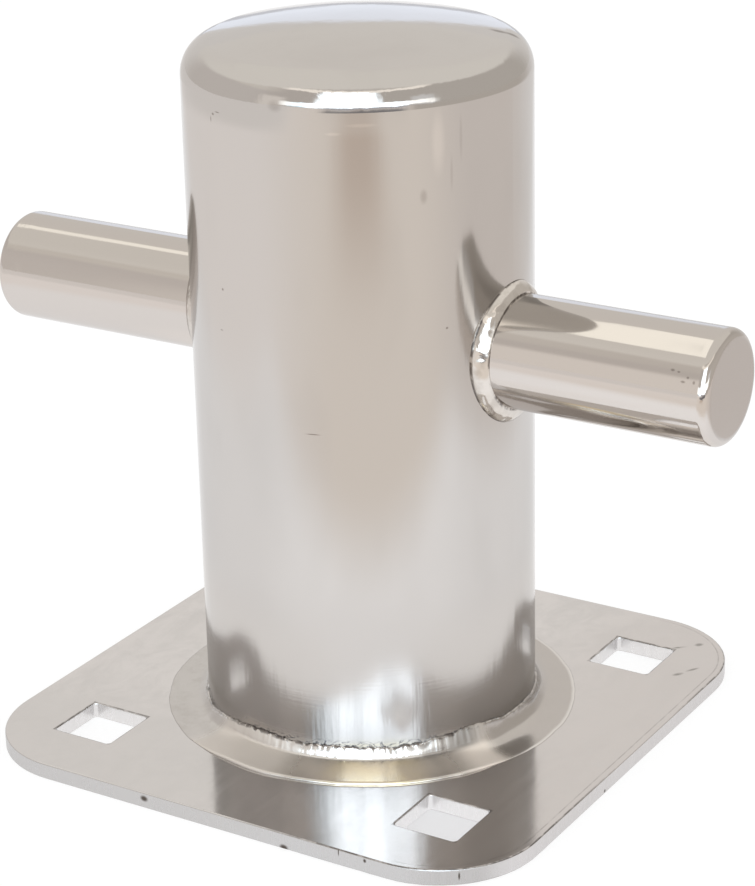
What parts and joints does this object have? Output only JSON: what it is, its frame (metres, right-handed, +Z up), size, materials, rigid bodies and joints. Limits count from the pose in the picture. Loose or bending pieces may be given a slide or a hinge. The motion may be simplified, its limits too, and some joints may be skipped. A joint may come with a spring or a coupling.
{
  "type": "mooring bollard",
  "caption": "Polished steel mooring bollard: capped round post on a square base plate with square bolt holes and a cross bar through it for mooring lines.",
  "frame": {"origin": "centre of the base plate's underside, on the post's axis", "axes": "+Z up along the post, +X along the cross bar towards its shorter arm, +Y square to both"},
  "size_m": [0.1453, 0.107, 0.1294],
  "materials": {
    "polished_steel": "mirror polished stainless steel with faint tube-polishing lines and a few small scratches",
    "plate_steel": "bright rolled stainless sheet with faint wiping marks and a pale satin cut edge",
    "weld_steel": "ground and polished stainless weld metal, uneven, with a light straw tint"
  },
  "bodies": {
    "root": {"base_plate": "plate_steel", "post_tube": "polished_steel", "post_cap": "polished_steel", "cap_weld": "polished_steel", "cross_bar": "polished_steel", "foot_weld": "weld_steel", "bar_weld_left": "weld_steel", "bar_weld_right": "weld_steel"}
  },
  "joints": []
}
